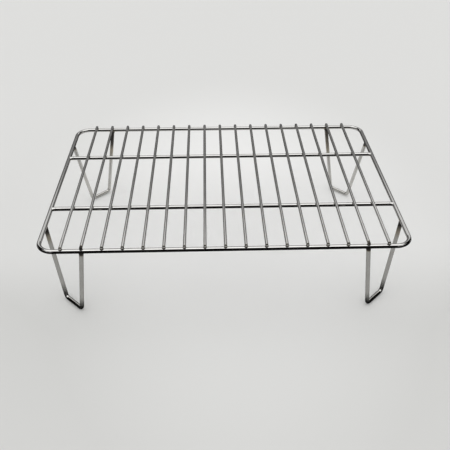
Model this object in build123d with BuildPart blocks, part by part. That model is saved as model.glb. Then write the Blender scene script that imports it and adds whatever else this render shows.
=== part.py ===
from build123d import *
import os

# Warming rack of welded stainless wire: a closed frame, two cross rails between its sides,
# bars laid across them, and four legs that stand diagonally under the corners.
# Millimetres, +Z up, +X along the long side, origin on the floor under the middle of the rack.

# Wire diameters
frame_wire = 5.0
rail_wire = 4.8
leg_wire = 4.8
bar_wire = 3.5

# Whole rack
rack_width = 409.0  # over the frame, along X
rack_depth = 292.0  # over the frame, along Y
rack_height = 102.0  # floor to the top of the bars
corner_radius = 17.0  # frame corners, on the wire's centre line

# Bars
bar_count = 17
bar_margin = 26.0  # from the centre line of the frame's side to the nearest bar's
bar_inset = 1.0  # from the outside of the frame in to a bar's end

# Cross rails
rail_spacing = 122.0  # between the two centre lines

# Legs
leg_reach = 48.0  # from the corner of the frame's centre lines, along each side, to a leg arm
foot_length = 30.0  # along the floor, between the centre lines of the two arms
leg_bend_radius = 5.0  # on the wire's centre line

# Places that follow from the sizes above
half_x = (rack_width - frame_wire) / 2
half_y = (rack_depth - frame_wire) / 2
bar_z = rack_height - bar_wire / 2
deck_z = rack_height - bar_wire
frame_z = deck_z - frame_wire / 2
rail_z = deck_z - rail_wire / 2
bar_length = rack_depth - 2 * bar_inset
arm_spread = leg_reach * 2**0.5  # between a leg's two joints with the frame
bar_pitch = 2 * (half_x - bar_margin) / (bar_count - 1)

# Frame: one wire bent to a rounded rectangle and butt-welded closed
with BuildPart() as frame:
    with BuildLine(Plane.XY.offset(frame_z)) as frame_path:
        FilletPolyline(
            (-half_x, -half_y),
            (half_x, -half_y),
            (half_x, half_y),
            (-half_x, half_y),
            radius=corner_radius,
            close=True,
        )
    with BuildSketch(Plane(frame_path.line @ 0, z_dir=frame_path.line % 0)):
        Circle(frame_wire / 2)
    sweep()
frame.part.label = "frame_wire"


def cross_rail(name, y):
    """Rail along X, its ends coped to the frame's sides and level with the frame's top."""
    with BuildPart() as rail:
        with BuildSketch(Plane.YZ.offset(-half_x)):
            with Locations((y, rail_z)):
                Circle(rail_wire / 2)
        extrude(amount=2 * half_x)
        add(frame.part, mode=Mode.SUBTRACT)
    rail.part.label = name
    return rail


def bar(name, x):
    """Straight bar along Y that lies on the frame and the rails."""
    with BuildPart() as rod:
        with BuildSketch(Plane.XZ.offset(-bar_length / 2)):
            with Locations((x, bar_z)):
                Circle(bar_wire / 2)
        extrude(amount=bar_length)
    rod.part.label = name
    return rod


def leg(name, side_x, side_y):
    """U of wire in an upright plane across a corner: two arms and a straight foot on the floor."""
    middle = Vector(side_x * (half_x - leg_reach / 2), side_y * (half_y - leg_reach / 2), leg_wire / 2)
    corner_plane = Plane(middle, x_dir=(side_y, -side_x, 0), z_dir=(-side_x, -side_y, 0))
    with BuildPart() as wire:
        with BuildLine(corner_plane) as path:
            FilletPolyline(
                (-arm_spread / 2, frame_z - leg_wire / 2),
                (-foot_length / 2, 0),
                (foot_length / 2, 0),
                (arm_spread / 2, frame_z - leg_wire / 2),
                radius=leg_bend_radius,
            )
        with BuildSketch(Plane(path.line @ 0, x_dir=corner_plane.z_dir, z_dir=path.line % 0)):
            Circle(leg_wire / 2)
        sweep()
        add(frame.part, mode=Mode.SUBTRACT)
    wire.part.label = name
    return wire


rails = [
    cross_rail("front_cross_rail", -rail_spacing / 2),
    cross_rail("rear_cross_rail", rail_spacing / 2),
]
bars = []
for number in range(bar_count):
    bars.append(bar(f"bar_{number + 1:02d}", bar_margin - half_x + number * bar_pitch))
legs = [
    leg("front_left_leg", -1, -1),
    leg("front_right_leg", 1, -1),
    leg("rear_left_leg", -1, 1),
    leg("rear_right_leg", 1, 1),
]

os.makedirs("parts", exist_ok=True)
for piece in [frame, *rails, *bars, *legs]:
    export_step(piece.part, f"parts/{piece.part.label}.step")
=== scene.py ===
"""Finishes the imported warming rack: rounded bar ends, welds, stainless wire and a small studio.

Metres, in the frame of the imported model: +X to the right, +Y to the rear, +Z up, the floor at zero.
"""

import math

import bmesh
import bpy
from mathutils import Matrix, Vector


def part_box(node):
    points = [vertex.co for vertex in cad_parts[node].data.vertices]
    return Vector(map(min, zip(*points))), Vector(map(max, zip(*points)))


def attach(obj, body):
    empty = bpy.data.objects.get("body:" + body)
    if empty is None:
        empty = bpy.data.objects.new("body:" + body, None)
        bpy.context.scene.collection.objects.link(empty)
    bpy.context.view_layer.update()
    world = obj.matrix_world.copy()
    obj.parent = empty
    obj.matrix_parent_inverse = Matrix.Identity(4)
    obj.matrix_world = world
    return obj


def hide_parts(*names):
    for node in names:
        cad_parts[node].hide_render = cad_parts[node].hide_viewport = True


for startup in ("Camera", "Cube", "Light"):
    if startup in bpy.data.objects:
        bpy.data.objects.remove(bpy.data.objects[startup])
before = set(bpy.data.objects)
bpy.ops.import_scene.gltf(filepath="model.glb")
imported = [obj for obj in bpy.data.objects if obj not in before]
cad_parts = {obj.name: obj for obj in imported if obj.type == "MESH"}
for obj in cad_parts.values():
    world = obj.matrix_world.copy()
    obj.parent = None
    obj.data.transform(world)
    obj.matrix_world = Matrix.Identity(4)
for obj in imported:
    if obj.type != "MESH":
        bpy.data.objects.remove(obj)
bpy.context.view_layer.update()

bl_info = {
    "name": "Warming Rack",
    "version": (1, 0, 0),
    "blender": (4, 5, 0),
    "location": "3D View > Sidebar > Rack",
    "description": "Finishes a welded wire warming rack and sets up a studio for it",
    "category": "Object",
}

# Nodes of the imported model
FRAME = "frame_wire"
RAILS = ("front_cross_rail", "rear_cross_rail")
LEGS = ("front_left_leg", "front_right_leg", "rear_left_leg", "rear_right_leg")
BARS = sorted(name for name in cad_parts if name.startswith("bar_"))

# Where the wires run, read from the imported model
frame_low, frame_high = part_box(FRAME)
frame_radius = (frame_high.z - frame_low.z) / 2
frame_x = frame_high.x - frame_radius
frame_y = frame_high.y - frame_radius
frame_z = frame_high.z - frame_radius
deck_z = frame_high.z
rail_low, rail_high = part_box("rear_cross_rail")
rail_radius = (rail_high.z - rail_low.z) / 2
rail_y = (rail_high.y + rail_low.y) / 2
rail_z = (rail_high.z + rail_low.z) / 2
bar_low, bar_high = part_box(BARS[0])
bar_radius = (bar_high.z - bar_low.z) / 2
bar_z = (bar_high.z + bar_low.z) / 2

SIDES = (-1, 1)
CORNERS = [(end, side) for side in SIDES for end in SIDES]
X_WAY = Vector((1, 0, 0))
Y_WAY = Vector((0, 1, 0))
Z_WAY = Vector((0, 0, 1))


class RackWireSizes(bpy.types.PropertyGroup):
    """Sizes of the wires and their welds."""

    leg_wire: bpy.props.FloatProperty(
        name="Leg wire",
        description="Diameter of the leg wire",
        default=0.0048,
        unit="LENGTH",
    )
    leg_reach: bpy.props.FloatProperty(
        name="Leg reach",
        description="From the corner of the frame to a leg's arm",
        default=0.048,
        unit="LENGTH",
    )
    foot_length: bpy.props.FloatProperty(
        name="Foot length",
        description="Between a leg's arms on the floor",
        default=0.030,
        unit="LENGTH",
    )
    end_round: bpy.props.FloatProperty(
        name="End round",
        description="Rounding of a bar's cut ends",
        default=0.0006,
        unit="LENGTH",
    )
    weld_reach: bpy.props.FloatProperty(
        name="Weld reach",
        description="How far a fillet weld runs up its wire",
        default=0.0036,
        unit="LENGTH",
    )
    weld_spread: bpy.props.FloatProperty(
        name="Weld spread",
        description="How far a fillet weld runs out along the frame",
        default=0.0022,
        unit="LENGTH",
    )
    nugget_width: bpy.props.FloatProperty(
        name="Nugget width",
        description="Width of the metal pressed out under a bar",
        default=0.0042,
        unit="LENGTH",
    )
    nugget_height: bpy.props.FloatProperty(
        name="Nugget height",
        description="Height of the metal pressed out under a bar",
        default=0.0015,
        unit="LENGTH",
    )


class RackSteelFinish(bpy.types.PropertyGroup):
    """Colours and finish of the stainless wire."""

    steel: bpy.props.FloatVectorProperty(
        name="Steel",
        description="Bright wire",
        default=(0.59, 0.583, 0.567),
        subtype="COLOR",
        min=0,
        max=1,
    )
    leg_steel: bpy.props.FloatVectorProperty(
        name="Leg steel",
        description="Wire of the legs",
        default=(0.66, 0.65, 0.62),
        subtype="COLOR",
        min=0,
        max=1,
    )
    # Straw and dark scale colour both the weld heat tint and the painted shade under joints, on the bars'
    # front ends and down the legs' rear arms.
    straw: bpy.props.FloatVectorProperty(
        name="Straw tint",
        description="Edge of a weld's heat tint",
        default=(0.40, 0.36, 0.29),
        subtype="COLOR",
        min=0,
        max=1,
    )
    scale: bpy.props.FloatVectorProperty(
        name="Dark scale",
        description="Middle of a weld's heat tint",
        default=(0.04, 0.037, 0.035),
        subtype="COLOR",
        min=0,
        max=1,
    )
    roughness: bpy.props.FloatProperty(
        name="Roughness",
        description="Roughness of the polished wire",
        default=0.05,
        subtype="FACTOR",
        min=0,
        max=1,
    )
    grain: bpy.props.FloatProperty(
        name="Drawing lines",
        description="Depth of the lines left by drawing the wire",
        default=0.00002,
        unit="LENGTH",
    )


class RackStudio(bpy.types.PropertyGroup):
    """Camera and floor."""

    camera_place: bpy.props.FloatVectorProperty(
        name="Camera",
        description="Where the camera stands",
        default=(-0.0160, -0.6810, 0.5042),
        subtype="XYZ",
        unit="LENGTH",
    )
    camera_pitch: bpy.props.FloatProperty(
        name="Pitch",
        description="How far the camera looks down",
        default=math.radians(35.04),
        subtype="ANGLE",
    )
    camera_yaw: bpy.props.FloatProperty(
        name="Yaw",
        description="How far the camera looks to the right",
        default=math.radians(1.63),
        subtype="ANGLE",
    )
    lens: bpy.props.FloatProperty(
        name="Lens",
        description="Focal length in millimetres, on a 36 mm sensor",
        default=50.38,
    )
    # Painted light: the paper is brighter under and behind the rack
    painted_floor_light: bpy.props.FloatVectorProperty(
        name="Floor middle",
        description="Floor under and behind the rack",
        default=(0.89, 0.89, 0.88),
        subtype="COLOR",
        min=0,
        max=1,
    )
    # Painted shade: the paper is darker in front of the rack and beside it
    painted_floor_shade: bpy.props.FloatVectorProperty(
        name="Floor edge",
        description="Floor in front of the rack and beside it",
        default=(0.66, 0.66, 0.645),
        subtype="COLOR",
        min=0,
        max=1,
    )
    # Painted reflection: near-black paper that is seen only in the wire's reflections
    painted_dark_reflection: bpy.props.FloatVectorProperty(
        name="Surround",
        description="What the wire mirrors beyond the paper",
        default=(0.006, 0.006, 0.006),
        subtype="COLOR",
        min=0,
        max=1,
    )


class Value:
    """A node's socket in a Python sum: each operator adds a Math node."""

    def __init__(self, shader, socket):
        self.shader = shader
        self.socket = socket

    def math(self, operation, *inputs):
        """Math node on the inputs given."""
        node = self.shader.add("ShaderNodeMath", {"operation": operation}, dict(enumerate(inputs)))
        return Value(self.shader, node.outputs[0])

    def __add__(self, other):
        return self.math("ADD", self, other)

    def __sub__(self, other):
        return self.math("SUBTRACT", self, other)

    def __rsub__(self, other):
        return self.math("SUBTRACT", other, self)

    def __mul__(self, other):
        return self.math("MULTIPLY", self, other)

    def __abs__(self):
        return self.math("ABSOLUTE", self)

    __radd__ = __add__
    __rmul__ = __mul__

    def root(self):
        """Square root."""
        return self.math("SQRT", self)

    def most(self, other):
        """The larger of two values."""
        return self.math("MAXIMUM", self, other)

    def fade(self, start, end):
        """Smooth step from 0 at start to 1 at end, which may lie either way."""
        low, high = min(start, end), max(start, end)
        node = self.shader.add(
            "ShaderNodeMapRange",
            {"interpolation_type": "SMOOTHSTEP"},
            {"Value": self, "From Min": low, "From Max": high},
        )
        rise = Value(self.shader, node.outputs["Result"])
        return rise if start < end else 1 - rise


class Shader:
    """The node tree of a material or the world."""

    def __init__(self, owner):
        owner.use_nodes = True
        self.tree = owner.node_tree
        self.tree.nodes.clear()

    def add(self, kind, settings, sockets):
        """Node of a type, with its settings made first and then its sockets set or linked."""
        node = self.tree.nodes.new(kind)
        for name, setting in settings.items():
            setattr(node, name, setting)
        for name, given in sockets.items():
            if isinstance(given, Value):
                self.tree.links.new(given.socket, node.inputs[name])
            elif isinstance(given, bpy.types.NodeSocket):
                self.tree.links.new(given, node.inputs[name])
            else:
                node.inputs[name].default_value = given
        return node

    def axes(self, coordinates):
        """x, y and z of a vector socket."""
        node = self.add("ShaderNodeSeparateXYZ", {}, {"Vector": coordinates})
        return [Value(self, socket) for socket in node.outputs]

    def place(self, kind="Object"):
        """Texture coordinates of a kind: Object is in metres."""
        return self.add("ShaderNodeTexCoord", {}, {}).outputs[kind]

    def ray(self, kind):
        """1 on rays of a kind, such as Is Glossy Ray, and 0 on others."""
        return Value(self, self.add("ShaderNodeLightPath", {}, {}).outputs[kind])

    def noise(self, coordinates, scale, detail):
        """Noise from 0 to 1, stretched where a part of scale is small."""
        mapped = self.add("ShaderNodeMapping", {}, {"Vector": coordinates, "Scale": scale}).outputs[0]
        node = self.add("ShaderNodeTexNoise", {}, {"Vector": mapped, "Scale": 1.0, "Detail": detail})
        return Value(self, node.outputs[0])

    def mix(self, factor, first, second):
        """Colour between two colours."""
        node = self.add("ShaderNodeMix", {"data_type": "RGBA"}, {0: factor, 6: first, 7: second})
        return node.outputs[2]


def colour(rgb):
    """Four numbers for a colour socket."""
    return (*rgb, 1.0)


def material(name):
    """New material and the shader that fills it."""
    made = bpy.data.materials.new(name)
    return made, Shader(made)


def near(value, spot, size):
    """1 where a coordinate is at a spot on either side of the middle, and 0 a size away from it."""
    return abs(abs(value) - spot).fade(size, 0.0)


# Noise of drawn wire: how often it changes in a metre along X, Y and Z
LINES_ALONG = 18.0
LINES_ACROSS = 1400.0
ALONG_X = (LINES_ALONG, LINES_ACROSS, LINES_ACROSS)
ALONG_Y = (LINES_ACROSS, LINES_ALONG, LINES_ACROSS)
ALONG_Z = (LINES_ACROSS, LINES_ACROSS, LINES_ALONG)
ALL_WAYS = (800.0, 800.0, 800.0)
CLOUD = (70.0, 70.0, 70.0)
LINE_DETAIL = 3.0
CLOUD_DETAIL = 2.0

# How lines, cloud and tint change the steel; the tint is weld heat tint and painted shade together. A pair
# says where an effect begins and where it is full.
WORN_LINES = (0.35, 0.68)
WORN_CLOUD = (0.3, 0.7)
DULL_SHARE = 0.84
TINT_BASE = 0.55
TINT_CLOUD = 0.9
STRAW_LEVELS = (0.05, 0.5)
SCALE_LEVELS = (0.4, 0.95)
LINE_BUMP = 0.5
LINE_ROUGHNESS = 0.05
CLOUD_ROUGHNESS = 0.03
TINT_ROUGHNESS = 0.22
SHINE_LOST = 0.6  # on a bar's cut face and a leg's satin arm

# Heat tint and painted shade on the bars. A single length, here and below, is how far the tint spreads
# each way.
BAR_TINT_AT_RAIL = 0.004
BAR_TINT_AT_FRAME = 0.005
CROSSING_HEAT_AND_SHADE = 0.5
CUT_DEPTH = (0.00010, 0.00002)  # in from a bar's end
CUT_RIM = (0.0012, 0.0006)  # up and down from a bar's middle
# Painted shade on the bars' front ends, which the rear ends don't get
END_SHADE_REACH = (0.0022, 0.0006)  # back from a bar's front end
END_SHADE_LEVEL = 0.9
LEG_MARK_WIDTH = 0.003
LEG_MARK = (0.004, 0.001)  # back from the frame's front wire

# Heat tint and painted shade on the rails, the frame and the legs
RAIL_END = (0.010, 0.002)  # in from the frame's side wire
RAIL_END_HEAT_AND_SHADE = 0.7
CORNER_BLEND = (-0.006, 0.006)  # from a long side of the frame to a short one
FRAME_TINT_AT_LEG = 0.010
FRAME_TINT_AT_RAIL = 0.008
SATIN_ARM = (0.004, 0.026)  # up from the floor
REAR_ARM = (0.024, 0.004)  # in from the wire that the arm is welded to
FRONT_LEGS = (0.01, -0.01)  # across the middle of the rack
# Painted shade down the rear arm of each leg, fading from the frame: the front legs' side arms and the
# rear legs' rear arms
FRONT_ARM_SHADE = (0.030, -0.003)  # down from the frame, as the next two
REAR_ARM_SHADE = (0.065, -0.003)
LEG_WELD_TINT = (0.008, 0.003)


def bar_look(x, y, z):
    """Heat tint and painted shade low down at each crossing, painted shade on the front ends, dark marks
    over the legs and dull cuts.
    """
    crossings = near(y, rail_y, BAR_TINT_AT_RAIL).most(near(y, frame_y, BAR_TINT_AT_FRAME))
    # Weld heat tint and painted shade on the bar's lower half where it rests on a rail or the frame
    crossings = crossings * z.fade(bar_high.z, bar_low.z) * CROSSING_HEAT_AND_SHADE
    cut = (bar_high.y - abs(y)).fade(*CUT_DEPTH) * abs(z - bar_z).fade(*CUT_RIM)
    # Painted shade darkening the last millimetres of each bar's front end, but not its cut face
    painted_end_shade = (y - bar_low.y).fade(*END_SHADE_REACH) * (1 - cut) * END_SHADE_LEVEL
    leg_x = frame_x - bpy.context.scene.rack_wires.leg_reach
    over_leg = near(x, leg_x, LEG_MARK_WIDTH) * (y + frame_y).fade(*LEG_MARK)
    heat_and_shade = crossings.most(painted_end_shade).most(over_leg)
    return [(ALONG_Y, 1 - cut), (ALL_WAYS, cut)], heat_and_shade, 1 - cut * SHINE_LOST


def rail_look(x, y, z):
    """Weld heat tint and painted shade under a rail's ends."""
    heat_and_shade = (frame_x - abs(x)).fade(*RAIL_END) * z.fade(rail_high.z, rail_low.z) * RAIL_END_HEAT_AND_SHADE
    return [(ALONG_X, 1.0)], heat_and_shade, 1.0


def frame_look(x, y, z):
    """Lines along each side, heat tint under the welds of the legs, and heat tint with painted shade under
    the rails' joints.
    """
    reach = bpy.context.scene.rack_wires.leg_reach
    side = (abs(x) - frame_x + frame_y - abs(y)).fade(*CORNER_BLEND)
    long_side_legs = near(x, frame_x - reach, FRAME_TINT_AT_LEG) * (1 - side)
    short_side_legs = near(y, frame_y - reach, FRAME_TINT_AT_LEG) * side
    # Weld heat tint and painted shade on the frame's lower half at the rail joints
    rails = near(y, rail_y, FRAME_TINT_AT_RAIL) * side
    heat_and_shade = (long_side_legs + short_side_legs).most(rails) * z.fade(frame_high.z, frame_low.z)
    return [(ALONG_Y, side), (ALONG_X, 1 - side)], heat_and_shade, 1.0


def leg_look(x, y, z):
    """Satin arms, dark at the weld, painted shade down the rear arm of each leg, darkest at the top, and a
    polished foot.
    """
    arm = z.fade(*SATIN_ARM)
    down = frame_z - z
    # Painted shade on the arm of each leg that lies further back, darkest under the frame
    front_arm_painted_shade = (frame_x - abs(x)).fade(*REAR_ARM) * y.fade(*FRONT_LEGS) * down.fade(*FRONT_ARM_SHADE)
    rear_arm_painted_shade = (frame_y - y).fade(*REAR_ARM) * down.fade(*REAR_ARM_SHADE)
    heat_and_shade = front_arm_painted_shade.most(rear_arm_painted_shade).most(down.fade(*LEG_WELD_TINT))
    return [(ALONG_Z, arm), (ALL_WAYS, 1 - arm)], heat_and_shade, 1 - arm * SHINE_LOST


def steel(name, look, bright):
    """Drawn stainless wire.

    look gives the noise of each run of the wire with its mask, the tint, which is weld heat tint and
    painted shade, and how metallic it is.
    """
    finish = bpy.context.scene.rack_finish
    made, shader = material(name)
    place = shader.place()
    grains, tint, metallic = look(*shader.axes(place))
    lines = sum(shader.noise(place, scale, LINE_DETAIL) * mask for scale, mask in grains)
    cloud = shader.noise(place, CLOUD, CLOUD_DETAIL)
    heat_and_shade = tint * (cloud * TINT_CLOUD + TINT_BASE)
    wear = lines.fade(*WORN_LINES) * cloud.fade(*WORN_CLOUD)
    dull = [part * DULL_SHARE for part in bright]
    base = shader.mix(wear, colour(dull), colour(bright))
    # Straw, then dark scale, where the weld heat tint and painted shade are strong
    base = shader.mix(heat_and_shade.fade(*STRAW_LEVELS), base, colour(finish.straw))
    base = shader.mix(heat_and_shade.fade(*SCALE_LEVELS), base, colour(finish.scale))
    smooth = finish.roughness - (LINE_ROUGHNESS + CLOUD_ROUGHNESS) / 2
    roughness = lines * LINE_ROUGHNESS + cloud * CLOUD_ROUGHNESS + heat_and_shade * TINT_ROUGHNESS + smooth
    bump = shader.add(
        "ShaderNodeBump",
        {},
        {"Strength": LINE_BUMP, "Distance": finish.grain, "Height": lines},
    )
    surface = shader.add(
        "ShaderNodeBsdfPrincipled",
        {},
        {
            "Base Color": base,
            "Metallic": metallic,
            "Roughness": roughness,
            "Normal": bump.outputs[0],
        },
    )
    shader.add("ShaderNodeOutputMaterial", {}, {"Surface": surface.outputs[0]})
    return made


def solid(name, fill):
    """New object at the origin from what fill puts in a bmesh, riding on the rack."""
    shape = bmesh.new()
    fill(shape)
    bmesh.ops.recalc_face_normals(shape, faces=shape.faces)
    for face in shape.faces:
        face.smooth = True
    mesh = bpy.data.meshes.new(name)
    shape.to_mesh(mesh)
    shape.free()
    made = bpy.data.objects.new(name, mesh)
    bpy.context.scene.collection.objects.link(made)
    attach(made, "root")
    return made


RING = 40  # points round a wire


def tube(shape, sections):
    """Closed tube through circles, each given by the matrix that places a unit circle."""
    ring = bmesh.ops.create_circle(shape, cap_ends=True, radius=1.0, segments=RING, matrix=sections[0])
    end = ring["verts"][0].link_faces[0]
    for before, after in zip(sections, sections[1:]):
        grown = bmesh.ops.extrude_face_region(shape, geom=[end, *end.edges])["geom"]
        end = next(item for item in grown if isinstance(item, bmesh.types.BMFace))
        points = [item for item in grown if isinstance(item, bmesh.types.BMVert)]
        bmesh.ops.transform(shape, matrix=after @ before.inverted(), verts=points)


def dress(name, finish_material):
    """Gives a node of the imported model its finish."""
    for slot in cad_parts[name].material_slots:
        slot.material = finish_material


def bar_x(name):
    """Where a bar lies across the rack."""
    low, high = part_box(name)
    return (low.x + high.x) / 2


ROUND_STEPS = 4  # stretches that round the edge of a bar's end
PLAIN_START = 4  # roundings from a bar's end to the first ring of its plain length


def bar_sections(x, end_round):
    """Rings of a bar, from one rounded end to the other."""
    along_y = Matrix.Rotation(math.radians(90), 4, "X")
    half = [(0.0, bar_radius - end_round)]
    for step in range(1, ROUND_STEPS + 1):
        turn = math.radians(90) * step / ROUND_STEPS
        half.append((end_round * (1 - math.cos(turn)), bar_radius - end_round * (1 - math.sin(turn))))
    half.append((end_round * PLAIN_START, bar_radius))
    rings = [(bar_low.y + back, radius) for back, radius in half]
    rings += [(bar_high.y - back, radius) for back, radius in reversed(half)]
    return [
        Matrix.Translation((x, y, bar_z)) @ along_y @ Matrix.Diagonal((radius, radius, 1, 1))
        for y, radius in rings
    ]


class RACK_OT_wires(bpy.types.Operator):
    """Stainless finish on the frame, the rails and the legs"""

    bl_idname = "rack.wires"
    bl_label = "Frame, rails and legs"

    def execute(self, context):
        finish = context.scene.rack_finish
        dress(FRAME, steel("frame_steel_wire", frame_look, finish.steel))
        rail_finish = steel("rail_steel_wire", rail_look, finish.steel)
        for name in RAILS:
            dress(name, rail_finish)
        leg_finish = steel("leg_steel_wire", leg_look, finish.leg_steel)
        for name in LEGS:
            dress(name, leg_finish)
        return {"FINISHED"}


class RACK_OT_bars(bpy.types.Operator):
    """Bars with rounded cut ends in place of the plain ones"""

    bl_idname = "rack.bars"
    bl_label = "Bars"

    def execute(self, context):
        bar_finish = steel("bar_steel_wire", bar_look, context.scene.rack_finish.steel)
        for name in BARS:
            sections = bar_sections(bar_x(name), context.scene.rack_wires.end_round)
            bar = solid(f"{name}_rod", lambda shape: tube(shape, sections))
            bar.data.materials.append(bar_finish)
            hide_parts(name)
        return {"FINISHED"}


# Welds
WELD_STEPS = 8  # stretches between the rings of a fillet
WELD_FLARE = 2.2  # power of the curve that a fillet widens by
WELD_SKIN = 0.00004  # how far a fillet stands off its wire
WELD_TUCK = 0.0002  # how much thinner it is inside the frame
NUGGET_AROUND = 14
NUGGET_UP = 8


def fillet_sections(joint, wire_way, frame_way, radius, sizes):
    """Rings of a weld that widens from a wire on to the frame."""
    across = wire_way.cross(frame_way).normalized()
    along = across.cross(wire_way)
    turn = Matrix((along, across, wire_way)).transposed().to_4x4()
    thin = min(radius, frame_radius) + WELD_SKIN
    length = frame_radius + sizes.weld_reach
    sections = []
    for step in range(WELD_STEPS + 1):
        climb = step / WELD_STEPS
        left = 1 - climb
        wide = radius + WELD_SKIN + sizes.weld_spread * left**WELD_FLARE
        size = Matrix.Diagonal((wide, thin - WELD_TUCK * left, 1, 1))
        sections.append(Matrix.Translation(joint + wire_way * length * climb) @ turn @ size)
    return sections


def rail_welds(shape, sizes):
    """Fillets where the rails' ends meet the frame's sides."""
    for end, side in CORNERS:
        joint = Vector((end * frame_x, side * rail_y, rail_z))
        tube(shape, fillet_sections(joint, -end * X_WAY, Y_WAY, rail_radius, sizes))


def leg_welds(shape, sizes):
    """Fillets where the legs' arms meet the frame from below."""
    half_reach = sizes.leg_reach / 2
    arm_top = sizes.leg_reach / math.sqrt(2)
    leg_radius = sizes.leg_wire / 2
    for end, side in CORNERS:
        middle = Vector((end * (frame_x - half_reach), side * (frame_y - half_reach), 0))
        outward = Vector((end, -side, 0)) / math.sqrt(2)
        for way, along in ((outward, Y_WAY), (-outward, X_WAY)):
            joint = middle + way * arm_top + Z_WAY * frame_z
            heel = middle + way * sizes.foot_length / 2 + Z_WAY * leg_radius
            arm = (heel - joint).normalized()
            tube(shape, fillet_sections(joint, arm, along, leg_radius, sizes))


def bar_welds(shape, sizes):
    """Flat nuggets pressed out where a bar crosses the frame and the rails."""
    half_width = sizes.nugget_width / 2
    flat = Matrix.Diagonal((half_width, half_width, sizes.nugget_height / 2, 1))
    for name in BARS:
        for y in (-frame_y, -rail_y, rail_y, frame_y):
            spot = Matrix.Translation((bar_x(name), y, deck_z))
            bmesh.ops.create_uvsphere(
                shape,
                u_segments=NUGGET_AROUND,
                v_segments=NUGGET_UP,
                radius=1.0,
                matrix=spot @ flat,
            )


class RACK_OT_welds(bpy.types.Operator):
    """Welds at the rail ends, at the leg tops and under the bars"""

    bl_idname = "rack.welds"
    bl_label = "Welds"

    def execute(self, context):
        sizes = context.scene.rack_wires
        for name, fill, slot in (
            ("rail_welds", rail_welds, "rail_steel"),
            ("leg_welds", leg_welds, "leg_steel"),
            ("bar_welds", bar_welds, "bar_steel"),
        ):
            weld = solid(name, lambda shape: fill(shape, sizes))
            weld.data.materials.append(bpy.data.materials[f"{slot}_wire"])
        return {"FINISHED"}


# Floor, with painted light in the middle and painted shade to the front and the sides. A pair says where a
# tone begins and where it is full.
FLOOR_HALF = 4.0
FLOOR_CENTRE_X = 0.02
DEPTH_SHARE = 0.36  # of the square of y, so that the pale middle is deeper than it is wide
EDGE_FADE = (0.08, 0.36)
EDGE_SHARE = 0.68
FRONT_FADE = (0.0, -0.18)
FRONT_SHARE = 0.6
SHEET_FRONT = (-0.04, 0.14)
SHEET_REAR = (0.32, 0.12)
PAPER_ROUGHNESS = 0.9
PAPER_SHINE = 0.1


def floor_material(studio):
    """Pale paper, with painted light in the middle and painted shade to the front and the sides. In
    reflections it is a painted dark reflection, near black, but for a pale strip under the rack.
    """
    made, shader = material("floor_paper")
    x, y, _ = shader.axes(shader.place())
    across = x - FLOOR_CENTRE_X
    away = (across * across + y * y * DEPTH_SHARE).root()
    # Painted shade towards the front and the sides, painted light in the middle
    edges = away.fade(*EDGE_FADE) * EDGE_SHARE + y.fade(*FRONT_FADE) * FRONT_SHARE
    paper = shader.mix(edges, colour(studio.painted_floor_light), colour(studio.painted_floor_shade))
    sheet = y.fade(*SHEET_FRONT) * y.fade(*SHEET_REAR)
    # Painted reflection: glossy rays see the paper as near black outside the strip
    base = shader.mix((1 - sheet) * shader.ray("Is Glossy Ray"), paper, colour(studio.painted_dark_reflection))
    surface = shader.add(
        "ShaderNodeBsdfPrincipled",
        {},
        {"Base Color": base, "Roughness": PAPER_ROUGHNESS, "Specular IOR Level": PAPER_SHINE},
    )
    shader.add("ShaderNodeOutputMaterial", {}, {"Surface": surface.outputs[0]})
    return made


# The room that the wire mirrors. Pairs are parts of a direction, or angles up from the rear and over to
# the front, and say where something begins and where it is full.
CEILING_LEVEL = 0.98
OVERHEAD_LEVEL = 0.95  # added to the ceiling's
OVERHEAD = (math.radians(62), math.radians(76))
CEILING_FRONT = (math.radians(127), math.radians(119))
CEILING_REAR = (0.87, 0.82)
CEILING_REAR_BOW = 0.11
CEILING_LOW = (0.26, 0.34)
REAR_WALL = (0.45, 0.75)
REAR_WALL_RISE = (0.05, 0.45)
REAR_WALL_LEVEL = 0.12
REAR_WALL_TOP = 0.20  # added to the rear wall's
DARK_LEVEL = 0.002
SIDE_WALL_X = (0.28, 0.37)
SIDE_WALL_Y = (0.72, 0.60)
SIDE_WALL_Z = (0.84, 0.76)
LAMP_LEVEL = 0.7
OUTER_PANEL_X = (0.57, 0.62)
OUTER_PANEL_Y = (-0.56, -0.62)
INNER_PANEL_X = (0.28, 0.34)
INNER_PANEL_Y = (-0.80, -0.86)
PANEL_Z = (0.10, 0.20)
LAMP_X = (0.28, 0.36)
LAMP_Y = (0.02, -0.10)
LAMP_Z = (0.46, 0.54)
SEEN_LOSS = 0.30  # how much darker the camera sees the dome than the floor does


def mirrored_room(x, y, z):
    """Bright ceiling, grey rear wall, dark sides and front, and lamps and panels to the front."""
    out = abs(x)
    over = z.math("ARCTAN2", z, y)
    ceiling = over.fade(*OVERHEAD) * OVERHEAD_LEVEL + CEILING_LEVEL
    outer_panels = out.fade(*OUTER_PANEL_X) * y.fade(*OUTER_PANEL_Y)
    inner_panels = out.fade(*INNER_PANEL_X) * y.fade(*INNER_PANEL_Y)
    panels = outer_panels.most(inner_panels) * z.fade(*PANEL_Z)
    lamps = out.fade(*LAMP_X) * y.fade(*LAMP_Y) * z.fade(*LAMP_Z)
    rear_wall = y.fade(*REAR_WALL) * (z.fade(*REAR_WALL_RISE) * REAR_WALL_TOP + REAR_WALL_LEVEL)
    walls = rear_wall + panels.most(lamps) * LAMP_LEVEL + DARK_LEVEL
    sides = out.fade(*SIDE_WALL_X) * y.fade(*SIDE_WALL_Y) * z.fade(*SIDE_WALL_Z)
    rear = (y + out * CEILING_REAR_BOW).fade(*CEILING_REAR)
    opening = z.fade(*CEILING_LOW) * rear * over.fade(*CEILING_FRONT) * (1 - sides)
    return opening * (ceiling - walls) + walls


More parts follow.
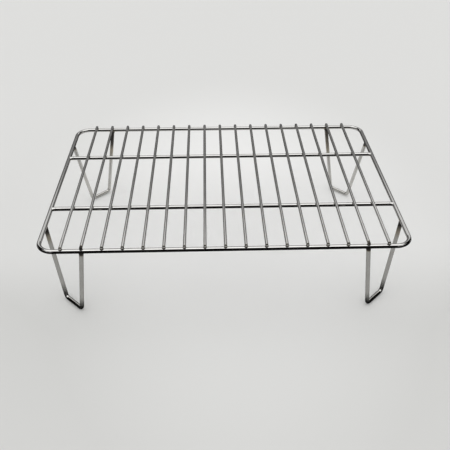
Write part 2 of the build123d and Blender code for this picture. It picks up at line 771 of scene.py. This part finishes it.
def light_room():
    """Even dome that lights the floor, and the room that the wire mirrors."""
    world = bpy.data.worlds.new("studio")
    bpy.context.scene.world = world
    shader = Shader(world)
    room = mirrored_room(*shader.axes(shader.place("Generated")))
    mirrored = shader.ray("Is Glossy Ray")
    dome = 1 - shader.ray("Is Camera Ray") * SEEN_LOSS
    level = room * mirrored + (1 - mirrored) * dome
    surface = shader.add("ShaderNodeBackground", {}, {"Color": (1, 1, 1, 1), "Strength": level})
    shader.add("ShaderNodeOutputWorld", {}, {"Surface": surface.outputs[0]})


SENSOR = 36.0  # millimetres


class RACK_OT_studio(bpy.types.Operator):
    """Floor, light and camera"""

    bl_idname = "rack.studio"
    bl_label = "Studio"

    def execute(self, context):
        studio = context.scene.rack_studio
        shape = bmesh.new()
        bmesh.ops.create_grid(shape, x_segments=1, y_segments=1, size=FLOOR_HALF)
        mesh = bpy.data.meshes.new("floor")
        shape.to_mesh(mesh)
        shape.free()
        floor = bpy.data.objects.new("floor", mesh)
        floor.data.materials.append(floor_material(studio))
        context.scene.collection.objects.link(floor)
        light_room()
        view = bpy.data.cameras.new("camera")
        view.lens = studio.lens
        view.sensor_width = SENSOR
        camera = bpy.data.objects.new("camera", view)
        camera.location = studio.camera_place
        camera.rotation_euler = (math.radians(90) - studio.camera_pitch, 0.0, -studio.camera_yaw)
        context.scene.collection.objects.link(camera)
        context.scene.camera = camera
        context.scene.view_settings.view_transform = "Standard"
        return {"FINISHED"}


class RACK_PT_panel(bpy.types.Panel):
    """Steps of the rack's finish, in order"""

    bl_idname = "RACK_PT_panel"
    bl_label = "Warming Rack"
    bl_space_type = "VIEW_3D"
    bl_region_type = "UI"
    bl_category = "Rack"

    def draw(self, context):
        for step in STEPS:
            self.layout.operator(step.bl_idname)


GROUPS = {"rack_wires": RackWireSizes, "rack_finish": RackSteelFinish, "rack_studio": RackStudio}
STEPS = (RACK_OT_wires, RACK_OT_bars, RACK_OT_welds, RACK_OT_studio)


def register():
    for made in (*GROUPS.values(), *STEPS, RACK_PT_panel):
        bpy.utils.register_class(made)
    for name, group in GROUPS.items():
        setattr(bpy.types.Scene, name, bpy.props.PointerProperty(type=group))


def unregister():
    for name in GROUPS:
        delattr(bpy.types.Scene, name)
    for made in reversed((*GROUPS.values(), *STEPS, RACK_PT_panel)):
        bpy.utils.unregister_class(made)


def main():
    register()
    bpy.ops.rack.wires()
    bpy.ops.rack.bars()
    bpy.ops.rack.welds()
    bpy.ops.rack.studio()


if __name__ == "__main__":
    main()
